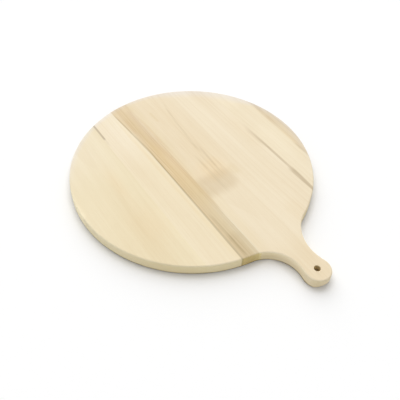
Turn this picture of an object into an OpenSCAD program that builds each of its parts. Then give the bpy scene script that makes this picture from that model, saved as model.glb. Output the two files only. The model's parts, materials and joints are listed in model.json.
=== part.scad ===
// Polenta board: a round wooden board with a short handle, glued up from six staves.
// Origin: centre of the disc on its underside. +X points along the handle, +Z is up.
// The staves run at a small angle to the handle. Each pair meets in a tongue and groove that
// stops short of the rim, where only the plain glue line shows.

/* [Board] */
// Diameter of the round board
disc_d = 400; // [380:5:520]
// Thickness of the wood
board_t = 19; // [15:0.5:30]
// Radius that softens every outer edge
edge_r = 2.3; // [0.5:0.1:4]

/* [Handle] */
// From the rim of the disc out to the middle of the hanging hole
hole_out = 67; // [45:1:120]
// Width of the handle's rounded head
head_w = 40; // [30:1:60]
// Straight stretch between the two half circles of the head
head_straight = 1.5; // [0.5:0.5:20]
// How much the waist is cut in from the head's width on the front side
front_waist_cut = 4.8; // [1:0.1:8]
// How much the waist is cut in from the head's width on the back side
back_waist_cut = 1.4; // [0.8:0.1:8]
// Diameter of the hanging hole
hole_d = 9.5; // [6:0.5:16]
// Radius that softens the rims of the hanging hole
hole_edge_r = 0.8; // [0.3:0.1:2]

/* [Staves] */
// Angle between the handle and the grain of the staves
grain_turn = 7.2; // [0:0.1:12]
// From the disc's centre line to the joint in front of the handle stave
handle_stave_front = 15.5; // [5:0.5:30]
// Width of the heartwood stave
heartwood_w = 29.5; // [20:0.5:50]
// Width of the pale stave in front of the heartwood
front_inner_w = 48.5; // [30:0.5:80]
// Width of the pale stave behind the handle stave
back_inner_w = 43.5; // [20:0.5:60]
// Width of the sliver at the back edge
back_outer_w = 21; // [15:0.5:40]

/* [Glue joints] */
// Thickness of a tongue
tongue_t = 6.5; // [4:0.5:9]
// How far a tongue reaches into its groove
tongue_depth = 6; // [3:0.5:10]
// How far the ends of a tongue stay inside the rim of the disc
tongue_stop = 8; // [4:0.5:12]
// Room for glue on each cheek of a tongue
glue_gap = 0.1; // [0.05:0.05:0.3]
// Room for glue at the bottom and the ends of a groove
tip_gap = 0.5; // [0.2:0.1:1]

/* [Hidden] */
$fn = 120;
// Overrun of cuts past the faces that they open
overrun = 1;

disc_r = disc_d / 2;
head_r = head_w / 2;
hole_x = disc_r + hole_out;
head_end_x = hole_x + head_straight;

// Joints from front to back, measured across the grain from the disc's centre.
// The front outer stave and the handle stave take what the other four leave.
handle_joint = -handle_stave_front;
heartwood_joint = handle_joint - heartwood_w;
front_joint = heartwood_joint - front_inner_w;
rear_joint = disc_r - back_outer_w;
back_joint = rear_joint - back_inner_w;
blank_half = head_end_x + head_w;

tongue_z = (board_t - tongue_t) / 2;

pale = "#F2E5C9";
cream = "#F5E9CF";
heartwood = "#E2CAA2";
sliver = "#EAD9B6";

// Radius of the fillet circle that touches the disc and the head from outside,
// and comes no nearer to the handle's centre line than the half waist
function fillet_r(half_waist) =
    let (a = (hole_x * hole_x + disc_r * disc_r - head_r * head_r) / (2 * hole_x),
         b = (disc_r - head_r) / hole_x,
         p = disc_r - half_waist - a * b,
         q = a * a - disc_r * disc_r + half_waist * half_waist)
    (p - sqrt(p * p - b * b * q)) / (b * b);

// Centre of that fillet circle on the back side
function fillet_centre(half_waist) =
    let (r = fillet_r(half_waist), y = half_waist + r)
    [sqrt((disc_r + r) * (disc_r + r) - y * y), y];

front_waist = head_r - front_waist_cut;
back_waist = head_r - back_waist_cut;
back_centre = fillet_centre(back_waist);
front_centre = [fillet_centre(front_waist)[0], -fillet_centre(front_waist)[1]];

// Section of a round slab with softened edges, from its axis to its rim
module slab_section(r) {
    square([r - edge_r, board_t]);
    translate([0, edge_r]) square([r, board_t - 2 * edge_r]);
    for (z = [edge_r, board_t - edge_r])
        translate([r - edge_r, z]) circle(edge_r);
}

// Round slab with softened edges
module slab(r) {
    rotate_extrude() slab_section(r);
}

// Half of such a slab, on the side that +X points to
module half_slab(r) {
    rotate(-90) rotate_extrude(angle = 180) slab_section(r);
}

// Corner that a softened edge takes off beside a round cut, at one height
module corner_section(r, soft, z, up) {
    translate([r, z]) mirror([0, up ? 0 : 1]) difference() {
        translate([-overrun, -soft]) square([soft + overrun, soft + overrun]);
        translate([soft, -soft]) circle(soft);
    }
}

// Round cut through the board that leaves softened edges around it
module soft_cut(r, soft) {
    rotate_extrude() {
        translate([0, -overrun]) square([r, board_t + 2 * overrun]);
        corner_section(r, soft, board_t, true);
        corner_section(r, soft, 0, false);
    }
}

// Block between the centres of the disc, the head and the two hollows of the waist.
// Its upright sides pass through the points where the hollows meet the disc and the head.
module neck_block(over) {
    translate([0, 0, -over]) linear_extrude(board_t + 2 * over)
        polygon([[0, 0], front_centre, [hole_x, 0], back_centre]);
}

// Neck of the handle, with its two hollows cut
module neck() {
    difference() {
        neck_block(0);
        translate(front_centre) soft_cut(fillet_r(front_waist), edge_r);
        translate(back_centre) soft_cut(fillet_r(back_waist), edge_r);
    }
}

// Head of the handle: two half circles with a short straight stretch between them
module head() {
    difference() {
        translate([hole_x, 0, 0]) mirror([1, 0]) half_slab(head_r);
        neck_block(overrun);
    }
    translate([hole_x, 0, 0]) rotate([90, 0, 90]) linear_extrude(head_straight)
        for (side = [0, 1]) mirror([side, 0]) slab_section(head_r);
    translate([head_end_x, 0, 0]) half_slab(head_r);
}

// The whole board in one piece, as it is after sawing and sanding
module board_blank() {
    difference() {
        union() {
            difference() {
                slab(disc_r);
                neck_block(overrun);
            }
            neck();
            head();
        }
        translate([hole_x, 0, 0]) soft_cut(hole_d / 2, hole_edge_r);
    }
}

// Half the length of the tongue at a joint, both ends of which stay inside the rim
function tongue_half(joint) =
    let (reach = max(-joint, joint + tongue_depth), clear_r = disc_r - tongue_stop)
    sqrt(clear_r * clear_r - reach * reach);

// Bar that reaches back from a joint: a tongue, or with gaps around it the groove for one
module joint_bar(joint, cheek, tip) {
    half = tongue_half(joint) + tip;
    translate([-half, joint - overrun, tongue_z - cheek])
        cube([2 * half, overrun + tongue_depth + tip, tongue_t + 2 * cheek]);
}

// Stave: the part of the board between two joints
module stave(front, back, grooved, tongued) {
    intersection() {
        board_blank();
        rotate(-grain_turn) difference() {
            union() {
                translate([-blank_half, front, -overrun])
                    cube([2 * blank_half, back - front, board_t + 2 * overrun]);
                if (tongued) joint_bar(back, 0, 0);
            }
            if (grooved) joint_bar(front, glue_gap, tip_gap);
        }
    }
}

module front_outer_stave() {
    color(pale) stave(-blank_half, front_joint, false, true);
}

module front_inner_stave() {
    color(cream) stave(front_joint, heartwood_joint, true, true);
}

module heartwood_stave() {
    color(heartwood) stave(heartwood_joint, handle_joint, true, true);
}

module handle_stave() {
    color(pale) stave(handle_joint, back_joint, true, true);
}

module back_inner_stave() {
    color(cream) stave(back_joint, rear_joint, true, true);
}

module back_outer_stave() {
    color(sliver) stave(rear_joint, blank_half, true, false);
}

front_outer_stave();
front_inner_stave();
heartwood_stave();
handle_stave();
back_inner_stave();
back_outer_stave();
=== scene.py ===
# %% [markdown]
# # A polenta board
#
# The object is a round wooden board with a short handle, for turning hot polenta out onto. It is
# a panel of staves glued edge to edge, sawn to its outline and sanded in one piece. This lesson
# models each stave as its own piece of wood, and gives each one its own procedural grain.
#
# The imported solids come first. They are the fixed frame: all sizes below follow them, and
# nothing moves or resizes them.

# %% Load the frame
import json
import math

import bmesh
import bpy
from mathutils import Matrix, Vector, noise


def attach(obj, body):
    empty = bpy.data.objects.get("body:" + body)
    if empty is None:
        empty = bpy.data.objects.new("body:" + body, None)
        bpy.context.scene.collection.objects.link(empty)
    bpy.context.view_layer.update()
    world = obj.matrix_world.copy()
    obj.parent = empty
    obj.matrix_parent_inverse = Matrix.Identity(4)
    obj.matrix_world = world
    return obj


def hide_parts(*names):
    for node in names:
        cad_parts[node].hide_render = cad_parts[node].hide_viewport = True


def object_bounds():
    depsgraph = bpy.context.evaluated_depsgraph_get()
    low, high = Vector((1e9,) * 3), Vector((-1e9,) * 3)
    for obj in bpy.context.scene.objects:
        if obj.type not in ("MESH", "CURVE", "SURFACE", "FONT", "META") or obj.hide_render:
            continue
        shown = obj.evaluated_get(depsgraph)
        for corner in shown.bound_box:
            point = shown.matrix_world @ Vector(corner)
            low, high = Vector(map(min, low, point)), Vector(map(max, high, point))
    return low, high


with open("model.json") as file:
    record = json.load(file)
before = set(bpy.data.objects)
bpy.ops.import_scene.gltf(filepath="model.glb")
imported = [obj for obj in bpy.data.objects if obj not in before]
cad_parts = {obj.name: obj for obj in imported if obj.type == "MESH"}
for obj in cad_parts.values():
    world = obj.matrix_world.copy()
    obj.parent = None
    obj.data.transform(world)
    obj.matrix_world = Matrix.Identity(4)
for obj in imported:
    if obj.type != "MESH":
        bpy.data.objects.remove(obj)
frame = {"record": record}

cad_low, cad_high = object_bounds()
print("CAD box:", [round(v, 4) for v in cad_low], [round(v, 4) for v in cad_high])

# %% [markdown]
# ## The camera
#
# The board lies flat and its rim is a circle, so the ellipse that it makes in the photograph
# gives the height of the camera above the table. The glue lines, which run side by side on the
# real board, give the rest. A camera can be aimed with a Track To constraint, but a place and
# three angles are written here, because the photograph was taken with a slight roll.

# %% Camera
photo_size = 400
focal_pixels = 505.6
sensor_mm = 36.0
camera_place = Vector((0.4400, -0.3937, 0.6145))
camera_azimuth = math.radians(46.73)
camera_elevation = math.radians(49.18)
camera_roll = math.radians(2.07)

camera_data = bpy.data.cameras.new("camera")
camera_data.sensor_width = sensor_mm
camera_data.lens = sensor_mm * focal_pixels / photo_size
camera = bpy.data.objects.new("camera", camera_data)
bpy.context.scene.collection.objects.link(camera)
looking_back = Vector((
    math.sin(camera_azimuth) * math.cos(camera_elevation),
    -math.cos(camera_azimuth) * math.cos(camera_elevation),
    math.sin(camera_elevation),
))
level = (-looking_back).to_track_quat("-Z", "Y").to_matrix().to_4x4()
camera.matrix_world = (
    Matrix.Translation(camera_place) @ level @ Matrix.Rotation(camera_roll, 4, "Z")
)
bpy.context.scene.camera = camera
print("lens:", round(camera_data.lens, 1), "mm on a sensor of", sensor_mm, "mm")

# %% [markdown]
# ## Sizes
#
# The thickness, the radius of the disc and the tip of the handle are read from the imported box,
# and the hanging hole from its mount. The other sizes are those that the solids were built
# with. The joints are counted across the grain, from the middle of the disc.

# %% Sizes in metres
board_t = cad_high.z
half_t = board_t / 2
disc_r = -cad_low.y
hole_mount = next(m for m in frame["record"]["mounts"] if m["name"] == "hanging_hole")
hole_x = hole_mount["pos_m"][0]
hole_r = hole_mount["dims"]["r_mm"] / 1000
head_r = 0.020
head_straight = cad_high.x - head_r - hole_x
front_waist = 0.0152
back_waist = 0.0186
edge_r = 0.0023
hole_edge_r = 0.0008
grain_turn = math.radians(7.2)

front_joint = -0.0935
heartwood_joint = -0.0450
handle_joint = -0.0155
back_joint = 0.1355
rear_joint = 0.1790

tongue_t = 0.0065
tongue_depth = 0.0060
tongue_stop = 0.0080
glue_gap = 0.0001
tip_gap = 0.0005
overrun = 0.001
print("disc", round(disc_r, 4), "hole", hole_x, hole_r, "straight", round(head_straight, 4))

# %% [markdown]
# ## The outline
#
# The outline is six arcs: the disc, a hollow on each side of the waist, and three for the round
# head of the handle, with two short straight lines between them. Each hollow touches the disc
# and the head without a corner. An outline could be typed as a list of points, but arcs are
# truer and shorter to write: one vertex is spun round the centre of each arc in turn, and the
# trail that it leaves is the outline.

# %% Centres of the two hollows
def hollow_centre(half_waist, side):
    """Centre of the circle that touches the disc and the head and leaves half_waist of wood."""
    # Such a circle has its centre at x = start + slope * radius, and its radius solves
    # slope**2 * radius**2 - 2 * half * radius + rest = 0.
    start = (hole_x**2 + disc_r**2 - head_r**2) / (2 * hole_x)
    slope = (disc_r - head_r) / hole_x
    half = disc_r - half_waist - start * slope
    rest = start**2 - disc_r**2 + half_waist**2
    radius = (half - math.sqrt(half**2 - slope**2 * rest)) / slope**2
    y = half_waist + radius
    return Vector((math.sqrt((disc_r + radius) ** 2 - y**2), side * y, 0))


disc_centre = Vector((0, 0, 0))
head_centre = Vector((hole_x, 0, 0))
tip_centre = Vector((hole_x + head_straight, 0, 0))
front_centre = hollow_centre(front_waist, -1)
back_centre = hollow_centre(back_waist, 1)
for name, centre in (("front", front_centre), ("back", back_centre)):
    print(name, "hollow has a radius of", round(centre.length - disc_r, 4))

# %% Draw the outline with spins
arc_step = math.radians(1.5)
fewest_steps = 4
same_point = 0.00002


def heading(start, end):
    """Angle of the way from one centre to another, seen from above."""
    return math.atan2(end.y - start.y, end.x - start.x)


def sweep(bm, vert, centre, turn):
    """Spins a vertex round a centre and returns the one that it ends in."""
    steps = max(fewest_steps, round(abs(turn) / arc_step))
    spun = bmesh.ops.spin(bm, geom=[vert], cent=centre, axis=(0, 0, 1), angle=turn, steps=steps)
    return next(v for v in spun["geom_last"] if isinstance(v, bmesh.types.BMVert))


def step_on(bm, vert, along):
    """Draws a straight edge from a vertex and returns its far end."""
    grown = bmesh.ops.extrude_vert_indiv(bm, verts=[vert])["verts"][0]
    bmesh.ops.translate(bm, vec=(along, 0, 0), verts=[grown])
    return grown


def draw_outline(bm):
    """Draws the six arcs of the outline and the two straight sides of the head."""
    quarter = math.pi / 2
    to_front = heading(disc_centre, front_centre)
    to_back = heading(disc_centre, back_centre)
    front_to_head = heading(front_centre, head_centre)
    head_to_back = heading(head_centre, back_centre)
    vert = bm.verts.new(back_centre.normalized() * disc_r)
    vert = sweep(bm, vert, disc_centre, math.tau - to_back + to_front)
    vert = sweep(bm, vert, front_centre, front_to_head - to_front - math.pi)
    vert = sweep(bm, vert, head_centre, math.pi - front_to_head - quarter)
    vert = step_on(bm, vert, head_straight)
    vert = sweep(bm, vert, tip_centre, math.pi)
    vert = step_on(bm, vert, -head_straight)
    vert = sweep(bm, vert, head_centre, head_to_back - quarter)
    sweep(bm, vert, back_centre, to_back - head_to_back)
    bmesh.ops.remove_doubles(bm, verts=bm.verts[:], dist=same_point)


trial = bmesh.new()
draw_outline(trial)
print("outline:", len(trial.verts), "points")
trial.free()

# %% [markdown]
# ## The blank
#
# The real board is one glued panel when it is sawn, and its edges are rounded over by sanding.
# The blank follows the same steps: fill the outline, extrude it to the thickness of the wood,
# and bevel the two rims. A hand on a sander never takes off quite the same amount, so the rim
# is drawn in by up to a fifth of a millimetre, in slow waves. The tip of the handle is what a
# board is stood on and knocked against, and the photograph shows its lower edge worn round, so
# rings are cut into the wall there and pushed in. The hole is drilled last.

# %% Helpers for meshes
rim_steepness = math.radians(60)
round_profile = 0.5


def make_object(name, bm):
    """Turns a bmesh into an object of the scene."""
    mesh = bpy.data.meshes.new(name)
    bm.to_mesh(mesh)
    bm.free()
    made = bpy.data.objects.new(name, mesh)
    bpy.context.scene.collection.objects.link(made)
    return made


def combine(target, cutter, operation):
    """Applies a Boolean to the target and throws the cutter away."""
    modifier = target.modifiers.new("cut", "BOOLEAN")
    modifier.object = cutter
    modifier.operation = operation
    modifier.solver = "EXACT"
    seen = target.evaluated_get(bpy.context.evaluated_depsgraph_get())
    result = bpy.data.meshes.new_from_object(seen)
    target.modifiers.clear()
    target.data = result
    bpy.data.objects.remove(cutter)


def rim_edges(bm, reach=math.inf):
    """Edges where a flat face meets a wall, as far as reach from the axis of the hanging hole."""
    def far(edge):
        return max((v.co.xy - head_centre.xy).length for v in edge.verts)
    return [e for e in bm.edges if e.calc_face_angle(0) > rim_steepness and far(e) < reach]


# %% Saw and sand the blank
rim_segments = 8
sanding_depth = 0.0002
sanding_waves = 38.0
tip_wear = 0.0060
tip_wear_middle = math.radians(-15)
tip_wear_reach = math.radians(55)
tip_ring_heights = (0.0031, 0.0040, 0.0052, 0.0066, 0.0083)
upright_limit = 0.1


def sand_by_hand(bm):
    """Draws the walls in a little, more in some places than in others."""
    bm.normal_update()
    for vert in bm.verts:
        wave = noise.noise(vert.co * sanding_waves)
        inwards = Vector((vert.normal.x, vert.normal.y, 0)) * -sanding_depth
        vert.co += inwards * (wave + 1) / 2


def wear_tip(bm):
    """Rounds the lower edge of the tip much more than the other edges."""
    upright = [f for f in bm.faces if abs(f.normal.z) < upright_limit]
    wall = [f for f in upright if f.calc_center_median().x > tip_centre.x]
    for height in tip_ring_heights:
        edges = {e for f in wall for e in f.edges}
        verts = {v for e in edges for v in e.verts}
        cut = bmesh.ops.bisect_plane(
            bm, geom=[*wall, *edges, *verts], plane_co=(0, 0, height), plane_no=(0, 0, 1)
        )
        wall = [g for g in cut["geom"] if isinstance(g, bmesh.types.BMFace)]
    for vert in bm.verts:
        away = vert.co - tip_centre
        off_middle = (math.atan2(away.y, away.x) - tip_wear_middle) / tip_wear_reach
        if away.x < 0 or abs(off_middle) > 1:
            continue
        radius = edge_r + tip_wear * math.cos(off_middle * math.pi / 2) ** 2
        drop = max(radius - vert.co.z, 0.0)
        wall_here = head_r - radius + math.sqrt(radius**2 - drop**2)
        if away.xy.length > wall_here:
            vert.co.xy = tip_centre.xy + away.xy.normalized() * wall_here


def saw_blank():
    """The whole panel, sawn, rounded and sanded."""
    bm = bmesh.new()
    draw_outline(bm)
    bmesh.ops.edgeloop_fill(bm, edges=bm.edges[:])
    top = bmesh.ops.extrude_face_region(bm, geom=bm.faces[:])["geom"]
    lifted = [v for v in top if isinstance(v, bmesh.types.BMVert)]
    bmesh.ops.translate(bm, vec=(0, 0, board_t), verts=lifted)
    bmesh.ops.recalc_face_normals(bm, faces=bm.faces[:])
    bmesh.ops.bevel(
        bm, geom=rim_edges(bm), offset=edge_r, segments=rim_segments,
        profile=round_profile, affect="EDGES", material=-1, clamp_overlap=False,
    )
    wear_tip(bm)
    sand_by_hand(bm)
    return make_object("blank", bm)


blank = saw_blank()
print("blank after sawing:", len(blank.data.polygons), "faces")

# %% Drill the hanging hole
drill_segments = 64
hole_edge_segments = 4


def drill(blank):
    """Cuts the hanging hole and rounds both of its rims."""
    bm = bmesh.new()
    bmesh.ops.create_cone(
        bm, cap_ends=True, segments=drill_segments, radius1=hole_r, radius2=hole_r,
        depth=2 * board_t,
    )
    bmesh.ops.translate(bm, vec=(hole_x, 0, half_t), verts=bm.verts[:])
    combine(blank, make_object("drill", bm), "DIFFERENCE")
    bm = bmesh.new()
    bm.from_mesh(blank.data)
    bmesh.ops.bevel(
        bm, geom=rim_edges(bm, reach=hole_r + overrun), offset=hole_edge_r,
        segments=hole_edge_segments, profile=round_profile, affect="EDGES", material=-1,
        clamp_overlap=False,
    )
    bm.to_mesh(blank.data)
    bm.free()


drill(blank)
print("blank after drilling:", len(blank.data.polygons), "faces")

# %% [markdown]
# ## The staves
#
# Each stave is the part of the blank that lies in its own strip of the panel. A strip is a cube
# stretched along the grain. Planes through it mark out the cheeks and ends of the joint, and then
# a patch of one side is pushed out as a tongue and a patch of the other pushed in as a groove.
# The tongues stop short of the rim, so that the wall of the board shows plain glue lines.

# %% Make a strip
facing_limit = 0.9


def tongue_half(joint):
    """Half the length of the tongue at a joint, both ends of which stay inside the rim."""
    reach = max(-joint, joint + tongue_depth)
    return math.sqrt((disc_r - tongue_stop) ** 2 - reach**2)


def mark_out(bm, half_length, half_height):
    """Cuts the strip along the cheeks and the ends of a joint."""
    for direction, half in ((Vector((1, 0, 0)), half_length), (Vector((0, 0, 1)), half_height)):
        for end in (-half, half):
            everything = bm.verts[:] + bm.edges[:] + bm.faces[:]
            plane = Vector((0, 0, half_t)) + direction * end
            bmesh.ops.bisect_plane(bm, geom=everything, plane_co=plane, plane_no=direction)


def push(bm, side, half_length, half_height, distance):
    """Moves the marked patch of one side, and makes walls behind it."""
    bm.normal_update()

    def in_patch(face):
        place = face.calc_center_median()
        in_reach = abs(place.x) < half_length and abs(place.z - half_t) < half_height
        return face.normal.y * side > facing_limit and in_reach

    faces = [f for f in bm.faces if in_patch(f)]
    moved = bmesh.ops.extrude_face_region(bm, geom=faces)["geom"]
    verts = [v for v in moved if isinstance(v, bmesh.types.BMVert)]
    bmesh.ops.delete(bm, geom=faces, context="FACES_KEEP_BOUNDARY")
    bmesh.ops.translate(bm, vec=(0, distance, 0), verts=verts)


def make_strip(low, high, grooved, tongued):
    """Strip of the panel between two joints, turned to lie along the grain."""
    bm = bmesh.new()
    bmesh.ops.create_cube(bm, size=1.0)
    reach = 2 * (disc_r + hole_x)
    bmesh.ops.scale(bm, vec=(reach, high - low, board_t + 2 * overrun), verts=bm.verts[:])
    bmesh.ops.translate(bm, vec=(0, (low + high) / 2, half_t), verts=bm.verts[:])
    if tongued:
        half_sizes = (tongue_half(high), tongue_t / 2)
        mark_out(bm, *half_sizes)
        push(bm, 1, *half_sizes, tongue_depth)
    if grooved:
        half_sizes = (tongue_half(low) + tip_gap, tongue_t / 2 + glue_gap)
        mark_out(bm, *half_sizes)
        push(bm, -1, *half_sizes, tongue_depth + tip_gap)
    bmesh.ops.recalc_face_normals(bm, faces=bm.faces[:])
    turn = Matrix.Rotation(-grain_turn, 3, "Z")
    bmesh.ops.rotate(bm, cent=(0, 0, 0), matrix=turn, verts=bm.verts[:])
    return make_object("strip", bm)


for joint in (front_joint, heartwood_joint, handle_joint, back_joint, rear_joint):
    print("the joint at", joint, "has a tongue of", round(2 * tongue_half(joint), 4), "m")

# %% Cut the staves out of the blank
past_edge = 1.5 * disc_r
sharp_angle = math.radians(35)
staves = {
    "front_outer_stave": dict(slot="pale_wood", strip=(-past_edge, front_joint, False, True)),
    "front_inner_stave": dict(slot="cream_wood", strip=(front_joint, heartwood_joint, True, True)),
    "heartwood_stave": dict(slot="heartwood", strip=(heartwood_joint, handle_joint, True, True)),
    "handle_stave": dict(slot="pale_wood", strip=(handle_joint, back_joint, True, True)),
    "back_inner_stave": dict(slot="cream_wood", strip=(back_joint, rear_joint, True, True)),
    "back_outer_stave": dict(slot="honey_wood", strip=(rear_joint, past_edge, True, False)),
}


def cut_stave(node, strip):
    """The part of the blank that lies in one strip."""
    piece = bpy.data.objects.new(node + "_wood", blank.data.copy())
    bpy.context.scene.collection.objects.link(piece)
    combine(piece, make_strip(*strip), "INTERSECT")
    piece.data.shade_smooth()
    piece.data.set_sharp_from_angle(angle=sharp_angle)
    flat_first = piece.modifiers.new("flat faces stay flat", "WEIGHTED_NORMAL")
    flat_first.keep_sharp = True
    return piece


for node, stave in staves.items():
    stave["piece"] = cut_stave(node, stave["strip"])
    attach(stave["piece"], "root")
    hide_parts(node)
    print(node, len(stave["piece"].data.polygons), "faces")
bpy.data.objects.remove(blank)

# %% [markdown]
# ## Wood as a solid pattern
#
# A plank shows its growth rings on top as long lines and at its ends as arcs, because both are
# cuts through the same tree. A picture of wood wrapped round the board would get the rim wrong.
# So the pattern is worked out in the depth of the wood, from each point's place along, across
# and through the stave. First come a few helpers that keep the node trees short to write.

# %% Helpers for node trees
def srgb(red, green, blue):
    """A colour as a screen shows it, 0 to 255, in the linear values that shaders use."""
    def linear(level):
        share = level / 255
        return share / 12.92 if share <= 0.04045 else ((share + 0.055) / 1.055) ** 2.4
    return (linear(red), linear(green), linear(blue), 1.0)


def put(tree, kind, inputs=None, **settings):
    """Adds a node, and links or sets each of its named inputs."""
    made = tree.nodes.new(kind)
    for name, value in settings.items():
        setattr(made, name, value)
    for socket, value in (inputs or {}).items():
        if isinstance(value, bpy.types.NodeSocket):
            tree.links.new(value, made.inputs[socket])
        else:
            made.inputs[socket].default_value = value
    return made


print("middle grey is", round(srgb(128, 128, 128)[0], 3), "in the values of a shader")

# %% Sums in a node tree
def calc(tree, operation, *values, clamp=False):
    """One Math node."""
    inputs = dict(enumerate(values))
    return put(tree, "ShaderNodeMath", inputs, operation=operation, use_clamp=clamp).outputs[0]


def times(tree, first, *others):
    """The product of two values or more."""
    for other in others:
        first = calc(tree, "MULTIPLY", first, other)
    return first


def around(tree, middle, reach):
    """The two values that lie reach below and above a middle one."""
    return calc(tree, "SUBTRACT", middle, reach), calc(tree, "ADD", middle, reach)


def vector_calc(tree, operation, *values):
    """One Vector Math node."""
    made = put(tree, "ShaderNodeVectorMath", dict(enumerate(values)), operation=operation)
    return made.outputs["Value" if operation in ("LENGTH", "DOT_PRODUCT") else "Vector"]


def flat_distance(tree, x, y):
    """Distance of a place from the middle, seen from above."""
    flat = put(tree, "ShaderNodeCombineXYZ", {"X": x, "Y": y}).outputs[0]
    return vector_calc(tree, "LENGTH", flat)


def ease(tree, value, start, end, low=0.0, high=1.0):
    """Turns a value smoothly from low to high while it goes from start to end."""
    inputs = {"Value": value, "From Min": start, "From Max": end, "To Min": low, "To Max": high}
    made = put(tree, "ShaderNodeMapRange", inputs, interpolation_type="SMOOTHSTEP")
    return made.outputs["Result"]


# %% Colours and noises in a node tree
def mix(tree, factor, first, second, way="MIX"):
    """Mixes two colours. In a Mix node they are inputs 6 and 7, and the mix is output 2."""
    settings = {"data_type": "RGBA", "blend_type": way}
    return put(tree, "ShaderNodeMix", {0: factor, 6: first, 7: second}, **settings).outputs[2]


def stretched_noise(tree, place, scale, detail):
    """Noise on a stretched place, so that its grains are longer than they are wide."""
    spread = vector_calc(tree, "MULTIPLY", place, scale)
    inputs = {"Vector": spread, "Scale": 1.0, "Detail": detail}
    return put(tree, "ShaderNodeTexNoise", inputs).outputs


# %% Node groups
def sockets(kind, *labels):
    """Sockets of one kind, for a list of inputs or outputs."""
    return [(label, "NodeSocket" + kind) for label in labels]


def new_group(name, inputs, outputs):
    """An empty node group with its sockets, and its input and output nodes."""
    group = bpy.data.node_groups.new(name, "ShaderNodeTree")
    for label, kind in inputs:
        group.interface.new_socket(label, in_out="INPUT", socket_type=kind)
    for label, kind in outputs:
        group.interface.new_socket(label, in_out="OUTPUT", socket_type=kind)
    return group, group.nodes.new("NodeGroupInput").outputs, group.nodes.new("NodeGroupOutput")


def close_group(group, result, outputs):
    """Links what a group has worked out to its output node."""
    for label, value in outputs.items():
        group.links.new(value, result.inputs[label])
    return group


# %% [markdown]
# ## Growth rings, fibres and pores
#
# The rings are shells round the middle of the log, so their number is the distance from that
# line, counted in ring widths. A slow noise bends them, and another makes some years wider than
# others. Fibres and pores are noises that are thirty to ninety times finer across the grain
# than along it. All of them are faint in this pale wood.

# %% How coarse and how strong the grain is
# The scale of a noise is how many grains it has in a metre along, across and through the wood.
bend_noise = dict(scale=(2.2, 11, 11), detail=1.5)
fibre_noise = dict(scale=(11, 950, 950), detail=3.0)
ribbon_noise = dict(scale=(1.6, 120, 120), detail=2.0)
cloud_noise = dict(scale=(2.5, 14, 14), detail=2.0)
pore_noise = dict(scale=(70, 2400, 2400), detail=1.0)
fleck_noise = dict(scale=(24, 520, 520), detail=2.0)
noise_middle = (0.5, 0.5, 0.5)
ring_bend = (0.0, 0.022, 0.022)
across_the_log = (0.0, 1.0, 1.0)
year_pace = 0.43
year_change = 1.6

# Where each of these comes or goes, and what it goes from and to.
late_wood_comes = (0.30, 0.93)
late_wood_ends = (0.94, 1.0, 1.0, 0.0)
pores_show = (0.63, 0.75)
end_grain_shows = (0.25, 0.95)
flecks_show = (0.35, 0.6, 1.0, 0.0)

usual_darkness = 0.22
fibre_darkness = 0.40
ribbon_darkness = 0.38
cloud_darkness = 0.75
pore_darkness = 0.22
end_strength = 0.85
early_wood_at_end = 0.65
ring_height = 0.35
fibre_height = 0.8
pore_depth = 0.9
wood_roughness = 0.56
fibre_roughness = 0.16
end_roughness = 0.12
print("a fibre of the pattern is about", round(1000 / fibre_noise["scale"][1], 1), "mm wide")

# %% Growth rings
def late_wood(group, given, own):
    """One in the dark late wood of each ring, and nought in its pale early wood."""
    wander = stretched_noise(group, own, **bend_noise)["Color"]
    wander = vector_calc(group, "SUBTRACT", wander, noise_middle)
    bend = vector_calc(group, "MULTIPLY", wander, ring_bend)
    from_log = vector_calc(group, "SUBTRACT", given["Place"], given["Log Middle"])
    bent = vector_calc(group, "ADD", from_log, bend)
    radius = vector_calc(group, "LENGTH", vector_calc(group, "MULTIPLY", bent, across_the_log))
    years = calc(group, "DIVIDE", radius, given["Ring Width"])
    uneven = put(
        group, "ShaderNodeTexNoise", {"W": times(group, years, year_pace), "Scale": 1.0},
        noise_dimensions="1D",
    ).outputs["Fac"]
    years = calc(group, "ADD", years, times(group, uneven, year_change))
    season = calc(group, "FRACT", years)
    return times(
        group, ease(group, season, *late_wood_comes), ease(group, season, *late_wood_ends)
    )


# %% End grain
def end_grain_share(group):
    """One where a surface cuts straight across the grain, and nought where it lies along it."""
    facing = put(group, "ShaderNodeTexCoord").outputs["Normal"]
    along = (math.cos(grain_turn), -math.sin(grain_turn), 0)
    cut_across = calc(group, "ABSOLUTE", vector_calc(group, "DOT_PRODUCT", facing, along))
    return ease(group, cut_across, *end_grain_shows)


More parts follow.
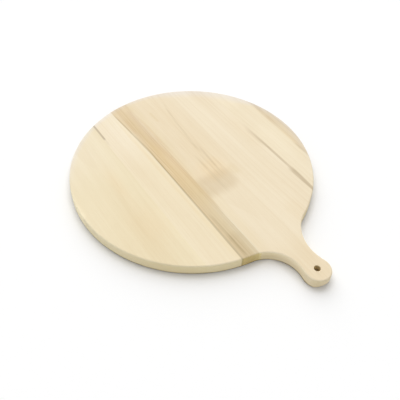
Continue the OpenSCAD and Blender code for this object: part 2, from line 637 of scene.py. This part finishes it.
# %% The group that makes wood
def make_wood_group():
    group, given, result = new_group(
        "wood",
        sockets("Vector", "Place", "Log Middle", "Seed")
        + sockets("Float", "Ring Width", "Ring Strength")
        + sockets("Color", "Pale", "Dark", "End Grain"),
        sockets("Color", "Color") + sockets("Float", "Height", "Roughness", "Flecks"),
    )
    own = vector_calc(group, "ADD", given["Place"], given["Seed"])
    late = late_wood(group, given, own)
    fibres = stretched_noise(group, own, **fibre_noise)["Fac"]
    ribbons = stretched_noise(group, own, **ribbon_noise)["Fac"]
    clouds = stretched_noise(group, own, **cloud_noise)["Fac"]
    pores = ease(group, stretched_noise(group, own, **pore_noise)["Fac"], *pores_show)

    def centred(value, strength):
        return calc(group, "MULTIPLY_ADD", value, strength, -strength / 2)

    darkness = times(group, late, given["Ring Strength"])
    darkness = calc(group, "ADD", darkness, centred(fibres, fibre_darkness))
    darkness = calc(group, "ADD", darkness, centred(ribbons, ribbon_darkness))
    darkness = calc(group, "ADD", darkness, centred(clouds, cloud_darkness))
    darkness = calc(group, "ADD", darkness, times(group, pores, pore_darkness))
    darkness = calc(group, "ADD", darkness, usual_darkness, clamp=True)
    colour = mix(group, darkness, given["Pale"], given["Dark"])

    end = end_grain_share(group)
    rings_at_end = calc(group, "MULTIPLY_ADD", late, 1 - early_wood_at_end, early_wood_at_end)
    end_colour = mix(group, rings_at_end, colour, given["End Grain"])
    colour = mix(group, times(group, end, end_strength), colour, end_colour)

    height = calc(group, "MULTIPLY_ADD", late, ring_height, times(group, fibres, fibre_height))
    height = calc(group, "SUBTRACT", height, times(group, pores, pore_depth))
    rough = calc(group, "MULTIPLY_ADD", fibres, fibre_roughness, wood_roughness)
    rough = calc(group, "ADD", rough, times(group, end, end_roughness))
    flecks = ease(group, stretched_noise(group, own, **fleck_noise)["Fac"], *flecks_show)
    outputs = {"Color": colour, "Height": height, "Roughness": rough, "Flecks": flecks}
    return close_group(group, result, outputs)


wood_group = make_wood_group()
print("wood group:", len(wood_group.nodes), "nodes")

# %% [markdown]
# ## Streaks and patches
#
# The photograph shows marks that belong to one place: the dark glue lines, a few mineral
# streaks and one soft darker patch. Most of them are narrow bands along the grain, so one group
# draws bands. It is given where a band starts and ends, how wide it is at both ends, how far it
# bows and how soft its edges are, and returns how strongly it shows at each point. A second group
# draws patches with rounded corners. The painted shade on the wall of the drilled hole is one of
# these as well.

# %% Flecks of clean wood
def flecked(group, given, mark):
    """Lets flecks of clean wood show through a mark."""
    holes = times(group, given["Flecks"], given["Patchy"])
    return calc(group, "MULTIPLY", mark, calc(group, "SUBTRACT", 1.0, holes), clamp=True)


# %% The group that makes streaks
def make_streak_group():
    group, given, result = new_group(
        "streak",
        sockets("Vector", "Place") + sockets(
            "Float", "Flecks", "Start", "End", "Side At Start", "Side At End", "Bow",
            "Width At Start", "Width At End", "Fade", "Softness", "Patchy",
        ),
        sockets("Float", "Mask"),
    )
    parts = put(group, "ShaderNodeSeparateXYZ", {0: given["Place"]}).outputs
    share = put(
        group, "ShaderNodeMapRange",
        {"Value": parts["X"], "From Min": given["Start"], "From Max": given["End"]},
    ).outputs["Result"]

    def between(first, last):
        return calc(group, "ADD", first, times(group, calc(group, "SUBTRACT", last, first), share))

    # The arch is nought at both ends of the streak and as high as its bow in the middle.
    arch = times(group, share, calc(group, "SUBTRACT", 1.0, share), 4.0, given["Bow"])
    middle = calc(group, "ADD", between(given["Side At Start"], given["Side At End"]), arch)
    half = times(group, between(given["Width At Start"], given["Width At End"]), 0.5)
    away = calc(group, "ABSOLUTE", calc(group, "SUBTRACT", parts["Y"], middle))
    inner, outer = around(group, 1.0, given["Softness"])
    body = ease(group, away, times(group, half, inner), times(group, half, outer), 1.0, 0.0)
    appears = ease(group, parts["X"], *around(group, given["Start"], given["Fade"]))
    goes = ease(group, parts["X"], *around(group, given["End"], given["Fade"]), 1.0, 0.0)
    mark = times(group, body, times(group, appears, goes))
    return close_group(group, result, {"Mask": flecked(group, given, mark)})


streak_group = make_streak_group()
print("streak group:", len(streak_group.nodes), "nodes")

# %% The group that makes patches
def make_patch_group():
    group, given, result = new_group(
        "patch",
        sockets("Vector", "Place", "Centre", "Half Size")
        + sockets("Float", "Flecks", "Corner", "Softness", "Patchy"),
        sockets("Float", "Mask"),
    )
    to_centre = vector_calc(group, "SUBTRACT", given["Place"], given["Centre"])
    flat_part = vector_calc(group, "SUBTRACT", given["Half Size"], given["Corner"])
    beyond = vector_calc(group, "SUBTRACT", vector_calc(group, "ABSOLUTE", to_centre), flat_part)
    beyond = vector_calc(group, "MAXIMUM", beyond, (0, 0, 0))
    reach = calc(group, "DIVIDE", vector_calc(group, "LENGTH", beyond), given["Corner"])
    mark = ease(group, reach, *around(group, 1.0, given["Softness"]), 1.0, 0.0)
    return close_group(group, result, {"Mask": flecked(group, given, mark)})


patch_group = make_patch_group()
print("patch group:", len(patch_group.nodes), "nodes")

# %% [markdown]
# ## Worn edges, painted light and painted shade
#
# A board that is carried, stood up and hung shows it at its edges first. The upper rounding is
# rubbed smooth by hands and cloths, and it is painted a little paler as well: a painted highlight.
# The lower one is painted darker, higher in some places than in others: painted shade where the
# board meets the table. The wall between them is painted a little paler than the faces, and on
# the neck its upper part is painted paler still: painted light. The rim at the left end, which
# faces the main light, is painted paler and bluer, together with the edge of the top beside it:
# painted light. All of this follows from the place of a point and from the way that its surface
# faces.

# %% Where the edges are worn, and where light and shade are painted on them
# The first tone is painted shade along the lower edge, the second a painted highlight on the upper
# rounding, and the other three painted light on the wall, on the rim at the left and on the neck's
# wall.
wear_light_and_shade_tones = {
    "Grime": (0.37, 0.33, 0.22, 1),
    "Polish": (1.02, 1.04, 1.08, 1),
    "Wall": (1.045, 1.07, 1.05, 1),
    "Bleached": (0.98, 1.03, 1.22, 1),
    "Grip": (1.14, 1.15, 1.17, 1),
}
spot_noise = dict(scale=(32, 32, 32), detail=3.0)
shade_height = 0.0042
full_shade_height = 0.45
left_light_width = 0.012
far_left = (-0.9, 0.43)

# Where each of these comes or goes, and what it goes from and to. Heights and places are in
# metres. A surface faces 1 on the top, 0 on the wall and -1 underneath.
uneven_shade_spots = (0.3, 0.7, 0.7, 1.1)
off_the_underside = (-1.0, -0.93)
less_shade_on_the_disc = (0.16, 0.20, 0.88, 1.0)
less_shade_at_the_tip = (0.265, 0.28, 1.0, 0.4)
above_the_wall = (0.05, 0.45)
below_the_top = (0.9, 0.99, 1.0, 0.0)
polished_and_highlit_spots = (0.25, 0.6, 0.5, 1.0)
on_the_wall = (0.5, 0.97, 1.0, 0.0)
towards_the_back = (0.02, 0.08, 0.0, 0.014)
only_at_the_left = (-0.10, -0.06, 1.0, 0.0)
left_light_comes = (-0.050, 0.085)
left_light_above = (-0.9, -0.5)
neck_starts = (0.192, 0.207)
neck_ends = (0.248, 0.264, 1.0, 0.0)
neck_light_above = (0.007, 0.018)
# The painted shade along the lower edge reaches this high.
print("the painted shade reaches up to", round(1000 * shade_height * uneven_shade_spots[3], 1), "mm")

# %% Painted light on the rim at the left
def painted_light_at_left(group, along, across, facing_up):
    """One on the rim at the far left, where light is painted, and nought where it ends."""
    inwards = times(
        group, ease(group, across, *towards_the_back), ease(group, along, *only_at_the_left)
    )
    left_light_from = calc(group, "SUBTRACT", disc_r - left_light_width, inwards)
    to_far_left = times(group, along, far_left[0])
    to_far_left = calc(group, "MULTIPLY_ADD", across, far_left[1], to_far_left)
    return times(
        group,
        ease(group, flat_distance(group, along, across), left_light_from, disc_r),
        ease(group, to_far_left, *left_light_comes),
        ease(group, facing_up, *left_light_above),
    )


# %% The group that wears the edges and paints light and shade on them
def make_wear_light_and_shade_group():
    group, given, result = new_group(
        "wear_light_and_shade", sockets("Vector", "Place"), sockets("Float", *wear_light_and_shade_tones)
    )
    parts = put(group, "ShaderNodeSeparateXYZ", {0: given["Place"]}).outputs
    along, across, height = parts["X"], parts["Y"], parts["Z"]
    facing = put(group, "ShaderNodeTexCoord").outputs["Normal"]
    facing_up = put(group, "ShaderNodeSeparateXYZ", {0: facing}).outputs["Z"]
    spots = stretched_noise(group, given["Place"], **spot_noise)["Fac"]

    # Painted shade along the lower edge, where the board meets the table, up to an uneven height.
    shade_top = times(group, ease(group, spots, *uneven_shade_spots), shade_height)
    contact_shade = times(
        group,
        ease(group, height, times(group, shade_top, full_shade_height), shade_top, 1.0, 0.0),
        ease(group, facing_up, *off_the_underside),
        ease(group, along, *less_shade_on_the_disc),
        ease(group, along, *less_shade_at_the_tip),
    )
    # Smoothed, and painted paler as well: a painted highlight on the upper rounding.
    polish_and_highlight = times(
        group,
        ease(group, facing_up, *above_the_wall),
        ease(group, facing_up, *below_the_top),
        ease(group, spots, *polished_and_highlit_spots),
    )

    # Painted light on the rim at the left end, which faces the main light.
    left_light = painted_light_at_left(group, along, across, facing_up)
    # The wall is painted a little paler: painted light.
    wall = ease(group, calc(group, "ABSOLUTE", facing_up), *on_the_wall)
    wall = calc(group, "SUBTRACT", wall, left_light, clamp=True)
    # The upper part of the neck's wall is painted paler still: painted light.
    neck = times(group, ease(group, along, *neck_starts), ease(group, along, *neck_ends))
    neck_light = times(group, ease(group, height, *neck_light_above), neck, wall)
    outputs = {
        "Grime": contact_shade, "Polish": polish_and_highlight, "Wall": wall, "Bleached": left_light, "Grip": neck_light,
    }
    return close_group(group, result, outputs)


wear_light_and_shade_group = make_wear_light_and_shade_group()
print("wear group:", len(wear_light_and_shade_group.nodes), "nodes")

# %% [markdown]
# ## The finish of each stave
#
# One function builds a stave's material from its own colours, its place in the log and its list
# of marks. The staves come from different planks, so every one has its own rings and its own
# tone. All places are in the grain's own directions: along it, across it and up.

# %% One material for each stave
polish_smooths = 0.12
grain_depth = 0.00012
grain_strength = 0.45


def stave_material(name, wood, marks):
    """The wood of one stave, tinted by its marks, then by painted light and shade at its edges."""
    material = bpy.data.materials.new(name)
    material.use_nodes = True
    tree = material.node_tree
    shader = tree.nodes["Principled BSDF"]
    place = put(tree, "ShaderNodeTexCoord").outputs["Object"]
    place = put(tree, "ShaderNodeMapping", {"Vector": place, "Rotation": (0, 0, grain_turn)})
    given = {"Place": place.outputs["Vector"]}
    grain = put(tree, "ShaderNodeGroup", {**given, **wood}, node_tree=wood_group).outputs
    colour = grain["Color"]
    for tone, strength, (group, shape) in marks:
        inputs = {**given, "Flecks": grain["Flecks"], **shape}
        mark = put(tree, "ShaderNodeGroup", inputs, node_tree=group).outputs["Mask"]
        colour = mix(tree, times(tree, mark, strength), colour, tone, "MULTIPLY")
    wear_light_and_shade = put(tree, "ShaderNodeGroup", given, node_tree=wear_light_and_shade_group).outputs
    for output, tone in wear_light_and_shade_tones.items():
        colour = mix(tree, wear_light_and_shade[output], colour, tone, "MULTIPLY")
    rough = calc(tree, "MULTIPLY_ADD", wear_light_and_shade["Polish"], -polish_smooths, grain["Roughness"])
    relief = {"Height": grain["Height"], "Distance": grain_depth, "Strength": grain_strength}
    bump = put(tree, "ShaderNodeBump", relief)
    tree.links.new(colour, shader.inputs["Base Color"])
    tree.links.new(rough, shader.inputs["Roughness"])
    tree.links.new(bump.outputs["Normal"], shader.inputs["Normal"])
    return material


# %% What belongs to one stave
def plank(log_middle, seed, ring_width, ring_strength, pale, dark, end_grain):
    """The place of a plank in its log, and its colours as a screen shows them."""
    return {
        "Log Middle": log_middle, "Seed": seed,
        "Ring Width": ring_width, "Ring Strength": ring_strength,
        "Pale": srgb(*pale), "Dark": srgb(*dark), "End Grain": srgb(*end_grain),
    }


def finish_stave(node, name, wood, marks):
    """Gives a stave the material that its wood and its marks make."""
    mesh = staves[node]["piece"].data
    mesh.materials.clear()
    mesh.materials.append(stave_material(name, wood, marks))
    print(name, "has", len(marks), "marks")


# %% Places of marks
def band(
    start, end, side, width, side_end=None, width_end=None,
    bow=0.0, fade=0.02, softness=0.6, patchy=0.3,
):
    """A narrow mark along the grain: its place in metres, and how its edges and body look."""
    return streak_group, {
        "Start": start, "End": end, "Side At Start": side, "Width At Start": width,
        "Side At End": side if side_end is None else side_end,
        "Width At End": width if width_end is None else width_end,
        "Bow": bow, "Fade": fade, "Softness": softness, "Patchy": patchy,
    }


def patch(centre, half_size, corner, softness=0.5, patchy=0.3):
    """A mark with rounded corners: its place in metres along, across and through the wood."""
    return patch_group, {
        "Centre": centre, "Half Size": half_size, "Corner": corner,
        "Softness": softness, "Patchy": patchy,
    }


# %% [markdown]
# ## Tones of the marks
#
# A mark tints the wood under it, so that the grain still shows through, as it does on the real
# board. A tone is what the red, green and blue of the wood are multiplied by: less than one makes
# it darker, and more than one paler.

# %% Tones
glue_line = (0.58, 0.54, 0.48, 1)
dark_line = (0.76, 0.72, 0.64, 1)
heart_line = (0.58, 0.53, 0.42, 1)
mineral = (0.66, 0.61, 0.53, 1)
# This tone darkens a soft patch in the middle of the handle stave.
soft_dark_patch = (0.865, 0.83, 0.775, 1)
# This tone is painted shade in the drilled hole.
hole_shade = (0.62, 0.54, 0.34, 1)
warmer = (0.95, 0.91, 0.84, 1)
golden = (1.00, 0.97, 0.89, 1)
ashen = (0.92, 0.96, 0.98, 1)
dusky = (0.96, 0.94, 0.88, 1)
peach = (1.0, 0.95, 0.90, 1)
paler = (1.04, 1.06, 1.14, 1)
scrubbed = (1.12, 1.13, 1.14, 1)
blond = (1.16, 1.21, 1.28, 1)
sapwood = (1.16, 1.27, 1.50, 1)
tan = (0.86, 0.78, 0.67, 1)
print("a glue line leaves", glue_line[:3], "of the wood's red, green and blue")

# %% [markdown]
# ## Glue lines
#
# A good glue joint is almost invisible, but on this board three of the five show as dark lines
# that wander a little, two of them over a part of their length only. The joints between the
# solids are straight, so the lines are painted on the wood instead. Each line is given to the
# staves on both sides of its joint, because it lies on both of them. The rearmost joint has only
# a short straight line, which stands among the marks of its own two staves.

# %% The glue lines that show
front_glue = [
    (glue_line, 0.85, band(-0.18, -0.133, -0.0918, 0.0034, softness=0.5, fade=0.004, patchy=0.1)),
    (dark_line, 0.3, band(-0.134, -0.118, -0.0918, 0.003, softness=0.9, fade=0.008, patchy=0.1)),
]
heartwood_glue = [
    (heart_line, 0.6, band(-0.18, -0.06, -0.0486, 0.0025, side_end=-0.042, width_end=0.0034,
                           bow=0.0002, softness=0.7, patchy=0.2)),
    (heart_line, 0.8, band(-0.06, 0.23, -0.0423, 0.0024, side_end=-0.0446, width_end=0.0032,
                           bow=-0.0001, patchy=0.1)),
]
back_glue = [
    (mineral, 0.22, band(-0.02, 0.025, 0.13, 0.0042, softness=0.8, fade=0.01, patchy=0.1)),
    (mineral, 0.85, band(-0.005, 0.105, 0.1334, 0.0042, fade=0.045, patchy=0.15)),
    (mineral, 0.75, band(0.096, 0.2, 0.1325, 0.0092, side_end=0.1318, width_end=0.0026,
                         softness=0.35, fade=0.01, patchy=0.15)),
    (dark_line, 0.5, band(0.122, 0.2, 0.1317, 0.0034, side_end=0.1325, softness=0.8, fade=0.01,
                          patchy=0.1)),
]
for name, bands in (("front", front_glue), ("heartwood", heartwood_glue), ("back", back_glue)):
    print(name, "glue line:", len(bands), "bands")

# %% [markdown]
# ## The front outer stave
#
# This stave carries the front edge. Its wood is even, so a few broad bands with soft edges are
# enough: it is paler at the left and warmer towards the right. One stretch of its rim is
# scrubbed lighter.

# %% Front outer stave
finish_stave(
    "front_outer_stave", "pale wood, front",
    plank(
        log_middle=(0, -0.15, -0.11), seed=(1.3, 0.2, 0.7), ring_width=0.0042, ring_strength=0.09,
        pale=(241, 227, 193), dark=(222, 200, 156), end_grain=(232, 214, 172),
    ),
    [
        *front_glue,
        (paler, 1.0, band(-0.2, -0.075, -0.145, 0.1, softness=0.8, fade=0.05)),
        (warmer, 0.35, band(0.02, 0.18, -0.14, 0.09, softness=0.9, fade=0.08)),
        (blond, 0.22, band(0.04, 0.175, -0.0962, 0.0054)),
        (peach, 0.6, band(-0.06, 0.01, -0.125, 0.016, softness=0.9, fade=0.03)),
        (peach, 0.5, band(0.03, 0.1, -0.12, 0.046, softness=0.9, fade=0.03)),
        (scrubbed, 1.0, patch((-0.03, -disc_r, half_t), (0.036, 0.008, 0.011), 0.008,
                              softness=0.6)),
    ],
)

# %% [markdown]
# ## The front inner stave
#
# The palest stave has hardly a mark of its own. Where it meets the heartwood it has a brown
# sliver at the left end, and a golden edge after that.

# %% Front inner stave
finish_stave(
    "front_inner_stave", "cream wood, front",
    plank(
        log_middle=(0, -0.01, -0.09), seed=(4.1, 3.2, 1.7), ring_width=0.0038, ring_strength=0.08,
        pale=(244, 230, 199), dark=(227, 205, 165), end_grain=(232, 215, 172),
    ),
    [
        *front_glue,
        (paler, 0.9, band(-0.2, -0.07, -0.069, 0.07, softness=0.8, fade=0.05)),
        (tan, 1.0, band(-0.2, -0.125, -0.047, 0.006, side_end=-0.045, width_end=0.002,
                        fade=0.01, softness=0.3, patchy=0.1)),
        (golden, 0.7, band(-0.16, 0.19, -0.05, 0.008, side_end=-0.048, fade=0.03, softness=0.9)),
        *heartwood_glue,
    ],
)

# %% [markdown]
# ## The heartwood stave
#
# This narrow stave comes from the edge of the heartwood, where the colour changes from one ring
# to the next. A colour ramp across the stave would make every ring as long as the stave, but on
# the board they start and stop. So each pale or dark ring is a band with ends of its own.

# %% Heartwood stave
finish_stave(
    "heartwood_stave", "heartwood",
    plank(
        log_middle=(0, 0.03, -0.06), seed=(7.4, 1.1, 5.2), ring_width=0.003, ring_strength=0.18,
        pale=(229, 207, 167), dark=(202, 173, 127), end_grain=(212, 182, 106),
    ),
    [
        *heartwood_glue,
        (sapwood, 1.0, band(-0.125, 0.23, -0.045, 0.0044, softness=0.2, patchy=0.0)),
        (golden, 1.0, band(-0.08, 0.075, -0.029, 0.024, fade=0.03, softness=0.3, patchy=0.1)),
        (ashen, 0.5, band(0.03, 0.23, -0.029, 0.025, fade=0.03, softness=0.3, patchy=0.1)),
        (ashen, 0.4, band(0.11, 0.23, -0.03, 0.026, fade=0.03, softness=0.3, patchy=0.1)),
        (sapwood, 0.35, band(-0.2, 0.0, -0.044, 0.006, side_end=-0.0375, width_end=0.003,
                             patchy=0.4)),
        (warmer, 0.8, band(-0.16, -0.118, -0.0385, 0.007, fade=0.01, softness=0.7)),
        (dusky, 0.9, band(-0.205, -0.17, -0.016, 0.008, fade=0.01, softness=0.7)),
        (blond, 0.4, band(-0.205, -0.178, -0.023, 0.01, fade=0.008, softness=0.7)),
        (paler, 1.0, band(-0.2, 0.0, -0.021, 0.012, fade=0.04, softness=0.8)),
        (sapwood, 0.4, band(-0.2, -0.06, -0.0165, 0.005, fade=0.04, softness=1.0)),
        (dark_line, 0.25, band(-0.078, -0.02, -0.0378, 0.0018, side_end=-0.0358, softness=0.8)),
        (blond, 0.3, band(-0.095, -0.038, -0.0352, 0.0036, side_end=-0.0322, softness=0.8)),
        (dusky, 0.8, band(-0.165, -0.05, -0.029, 0.012, softness=0.7, patchy=0.1)),
        (dark_line, 0.55, band(0.105, 0.19, -0.037, 0.0036, side_end=-0.0355, softness=0.8,
                               fade=0.01)),
        (dark_line, 0.45, band(0.15, 0.19, -0.0358, 0.0022, fade=0.008, softness=0.7,
                               patchy=0.1)),
        (dark_line, 0.45, band(0.15, 0.202, -0.032, 0.02, fade=0.01, softness=0.9)),
        (sapwood, 0.45, band(0.08, 0.23, -0.0205, 0.0085, fade=0.03)),
        (sapwood, 0.7, band(0.1, 0.23, -0.016, 0.003, width_end=0.005, softness=0.4, patchy=0.1)),
    ],
)

# %% [markdown]
# ## The handle stave
#
# The handle is sawn from the widest stave. A soft brown darker patch lies in the middle of its
# top, with fine darker lines that run along the grain, and its back edge carries half of a mineral
# streak. Several patches draw it. Another one paints shade onto the wall of the drilled hole, so
# that it is darker than the faces, and one paints light onto the wall at the tip. Their places are
# turned with the grain, as those of every mark are.

# %% Handle stave
drill_x = hole_x * math.cos(grain_turn)
drill_y = hole_x * math.sin(grain_turn)
finish_stave(
    "handle_stave", "pale wood, handle",
    plank(
        log_middle=(0, 0.015, -0.12), seed=(2.6, 8.3, 3.9), ring_width=0.0045, ring_strength=0.11,
        pale=(244, 230, 202), dark=(224, 202, 163), end_grain=(222, 203, 162),
    ),
    [
        (warmer, 0.7, band(-0.2, 0.045, 0.024, 0.07, fade=0.06)),
        (dusky, 0.8, band(-0.2, 0.04, -0.01, 0.014, fade=0.05, softness=0.7, patchy=0.2)),
        (dusky, 0.9, band(-0.205, -0.17, -0.014, 0.008, fade=0.01, softness=0.7)),
        (dusky, 0.8, band(0.06, 0.2, -0.01, 0.016, fade=0.03, softness=0.7, patchy=0.2)),
        (warmer, 0.8, band(-0.14, 0.06, -0.014, 0.006, fade=0.03, softness=0.9, patchy=0.2)),
        (tan, 0.35, band(-0.185, -0.06, -0.0145, 0.005, fade=0.03, softness=1.0, patchy=0.2)),
        (warmer, 0.35, patch((-0.03, 0.03, board_t), (0.036, 0.026, 0.006), 0.025, softness=0.9)),
        (warmer, 0.5, band(-0.06, 0.03, 0.125, 0.022, fade=0.03, softness=0.8)),
        (warmer, 0.7, band(0.215, 0.3, 0.033, 0.11, fade=0.03, softness=0.4)),
        (warmer, 0.5, band(0.15, 0.2, 0.08, 0.03, fade=0.015, softness=0.7)),
        (soft_dark_patch, 1.0, patch((0.0545, 0.002, board_t), (0.0265, 0.046, 0.006), 0.02, softness=0.4,
                           patchy=0.15)),
        (peach, 0.8, patch((0.026, 0.02, board_t), (0.02, 0.03, 0.006), 0.018, softness=0.8,
                           patchy=0.4)),
        (golden, 0.7, patch((0.026, 0.024, board_t), (0.024, 0.02, 0.006), 0.012, softness=0.9,
                            patchy=0.2)),
        (dusky, 0.8, patch((0.044, 0.052, board_t), (0.012, 0.007, 0.006), 0.007, softness=0.8,
                           patchy=0.2)),
        (dark_line, 0.45, band(-0.008, 0.077, 0.016, 0.0036, softness=0.9, patchy=0.4)),
        (dark_line, 0.3, band(-0.01, 0.04, 0.025, 0.0026, softness=0.9, patchy=0.5)),
        (dark_line, 0.5, band(-0.036, 0.036, 0.0345, 0.0036, side_end=0.031, softness=0.9,
                              patchy=0.4)),
        (dark_line, 0.3, band(0.008, 0.052, 0.0395, 0.0028, softness=0.9, patchy=0.5)),
        (dark_line, 0.3, band(-0.05, -0.02, 0.029, 0.003, softness=0.9, patchy=0.4)),
        (dark_line, 0.35, band(-0.16, -0.03, 0.044, 0.0034, side_end=0.03, bow=-0.002,
                               softness=0.9, patchy=0.5)),
        (dusky, 1.0, patch((-0.139, 0.01, board_t), (0.014, 0.0022, 0.004), 0.0022,
                           softness=0.7)),
        *back_glue,
        # Painted light: the wall at the tip is painted paler.
        (paler, 1.0, patch((0.288, 0.033, half_t), (0.007, 0.014, 0.0085), 0.007, softness=0.6)),
        # Painted shade on the wall of the drilled hole.
        (hole_shade, 1.0, patch((drill_x, drill_y, 0), (hole_r, hole_r, 1), hole_r, softness=0.05,
                             patchy=0.0)),
    ],
)

# %% [markdown]
# ## The back inner stave
#
# This stave is plain and pale. It carries the other half of the mineral streak, and a short
# dark line along the joint behind it.

# %% Back inner stave
finish_stave(
    "back_inner_stave", "cream wood, back",
    plank(
        log_middle=(0, 0.1, -0.1), seed=(9.0, 5.5, 0.4), ring_width=0.004, ring_strength=0.09,
        pale=(243, 229, 200), dark=(225, 204, 164), end_grain=(222, 204, 162),
    ),
    [
        *back_glue,
        (dark_line, 0.55, band(0.052, 0.11, 0.1788, 0.0034, fade=0.008)),
        (blond, 0.25, band(-0.15, -0.085, 0.145, 0.034, softness=0.7)),
        (blond, 0.2, band(-0.01, 0.075, 0.16, 0.038, softness=0.7)),
    ],
)

# %% [markdown]
# ## The back outer stave
#
# A sliver of honey-coloured wood closes the back edge. It is darker than the pale staves, with a
# light line along part of its joint and darker rings behind that.

# %% Back outer stave
finish_stave(
    "back_outer_stave", "honey wood",
    plank(
        log_middle=(0, 0.23, -0.07), seed=(5.7, 0.9, 8.8), ring_width=0.0032, ring_strength=0.16,
        pale=(234, 217, 185), dark=(207, 184, 145), end_grain=(190, 168, 124),
    ),
    [
        (blond, 0.6, band(-0.1, 0.05, 0.179, 0.0036, width_end=0.0026, fade=0.01, softness=0.5)),
        (dark_line, 0.45, band(-0.095, -0.046, 0.1845, 0.005, fade=0.01, softness=0.7)),
        (dark_line, 0.2, band(-0.06, 0.0, 0.187, 0.014, fade=0.015, softness=0.3)),
        (warmer, 0.6, band(-0.03, -0.01, 0.1835, 0.009, fade=0.01)),
        (golden, 0.6, band(0.01, 0.055, 0.1815, 0.005, fade=0.015, softness=0.8)),
        (dark_line, 0.4, band(0.056, 0.11, 0.1796, 0.0034, fade=0.008)),
    ],
)

# %% [markdown]
# ## Floor and light
#
# Pale wood is photographed on a white floor, under a large soft light that stands behind the
# board. The light falls on the top at a slant, leaves the rim that faces the camera darker, and
# lays a soft shadow in front. More light would wash the wood out, so the white of the floor
# comes from its own colour: rays from the camera see it a little brighter than it is. Close to
# the board they see it as it is, because there the shadow matters more than the white, so the
# floor round the outline is painted darker: a painted shadow.

# %% A floor that looks white
white = (1, 1, 1, 1)
floor_half = 6.0
floor_colour = (0.9, 0.9, 0.9, 1)
floor_roughness = 0.9
floor_glow = 0.11
painted_shadow_reach = 0.012


def seen_rays(tree):
    """One for rays that show a surface to the camera, straight or through gloss and glass."""
    path = put(tree, "ShaderNodeLightPath").outputs
    seen = calc(tree, "MAXIMUM", path["Is Camera Ray"], path["Is Glossy Ray"])
    return calc(tree, "MAXIMUM", seen, path["Is Transmission Ray"])


def away_from_board(tree):
    """Distance from the outline of the disc or of the handle, whichever is nearer."""
    place = put(tree, "ShaderNodeTexCoord").outputs["Object"]
    parts = put(tree, "ShaderNodeSeparateXYZ", {0: place}).outputs
    from_disc = calc(tree, "SUBTRACT", flat_distance(tree, parts["X"], parts["Y"]), disc_r)
    handle = calc(tree, "MAXIMUM", calc(tree, "MINIMUM", parts["X"], tip_centre.x), disc_r)
    past_handle = calc(tree, "SUBTRACT", parts["X"], handle)
    from_handle = calc(tree, "SUBTRACT", flat_distance(tree, past_handle, parts["Y"]), head_r)
    return calc(tree, "MINIMUM", from_disc, from_handle)


def floor_finish():
    """A matt white that glows a little, except close to the board, where the missing glow is a
    painted shadow.
    """
    material = bpy.data.materials.new("white floor")
    material.use_nodes = True
    tree = material.node_tree
    shader = tree.nodes["Principled BSDF"]
    shader.inputs["Base Color"].default_value = floor_colour
    shader.inputs["Roughness"].default_value = floor_roughness
    # Close to the board the glow is left out, which paints a shadow round the outline.
    glow_with_painted_shadow = ease(tree, away_from_board(tree), 0.0, painted_shadow_reach, 0.0, floor_glow)
    strength = times(tree, seen_rays(tree), glow_with_painted_shadow)
    glow = put(tree, "ShaderNodeEmission", {"Color": white, "Strength": strength})
    both = put(tree, "ShaderNodeAddShader", {0: shader.outputs[0], 1: glow.outputs[0]})
    tree.links.new(both.outputs[0], tree.nodes["Material Output"].inputs["Surface"])
    return material


bpy.context.scene.view_settings.view_transform = "Standard"
bm = bmesh.new()
bmesh.ops.create_grid(bm, x_segments=1, y_segments=1, size=floor_half)
floor = make_object("floor", bm)
floor.data.materials.append(floor_finish())
print("floor:", 2 * floor_half, "m wide")

# %% [markdown]
# ## Light from all around
#
# The walls of a studio send light back from every side, and the world stands in for them. Rays
# from the camera see it as pure white, while the board gets only a part of that light, so that
# the background is white and the wood keeps its colour.

# %% Soft light from all around
sky_strength = 0.57
world = bpy.data.worlds.new("studio")
bpy.context.scene.world = world
world.use_nodes = True
tree = world.node_tree
behind = calc(tree, "MULTIPLY_ADD", seen_rays(tree), 1 - sky_strength, sky_strength)
tree.links.new(behind, tree.nodes["Background"].inputs["Strength"])
tree.nodes["Background"].inputs["Color"].default_value = white
print("the board gets", sky_strength, "of the white that the camera sees")

# %% [markdown]
# ## The main light
#
# An area lamp could stand behind the board, but the end of the board that is nearer to it would
# be brighter. A sun is equally bright everywhere, and a sun that fills a wide angle of the sky
# gives the soft shadow of a large lamp.

# %% A large soft light behind the board
light_from = Vector((-0.77, 0.45, 0.88)).normalized()
light_spread = math.radians(72)
light_strength = 1.84

lamp_data = bpy.data.lights.new("soft light", "SUN")
lamp_data.angle = light_spread
lamp_data.energy = light_strength
lamp = bpy.data.objects.new("soft light", lamp_data)
bpy.context.scene.collection.objects.link(lamp)
lamp.matrix_world = (-light_from).to_track_quat("-Z", "Y").to_matrix().to_4x4()
print("light:", round(math.degrees(math.asin(light_from.z))), "degrees above the table")
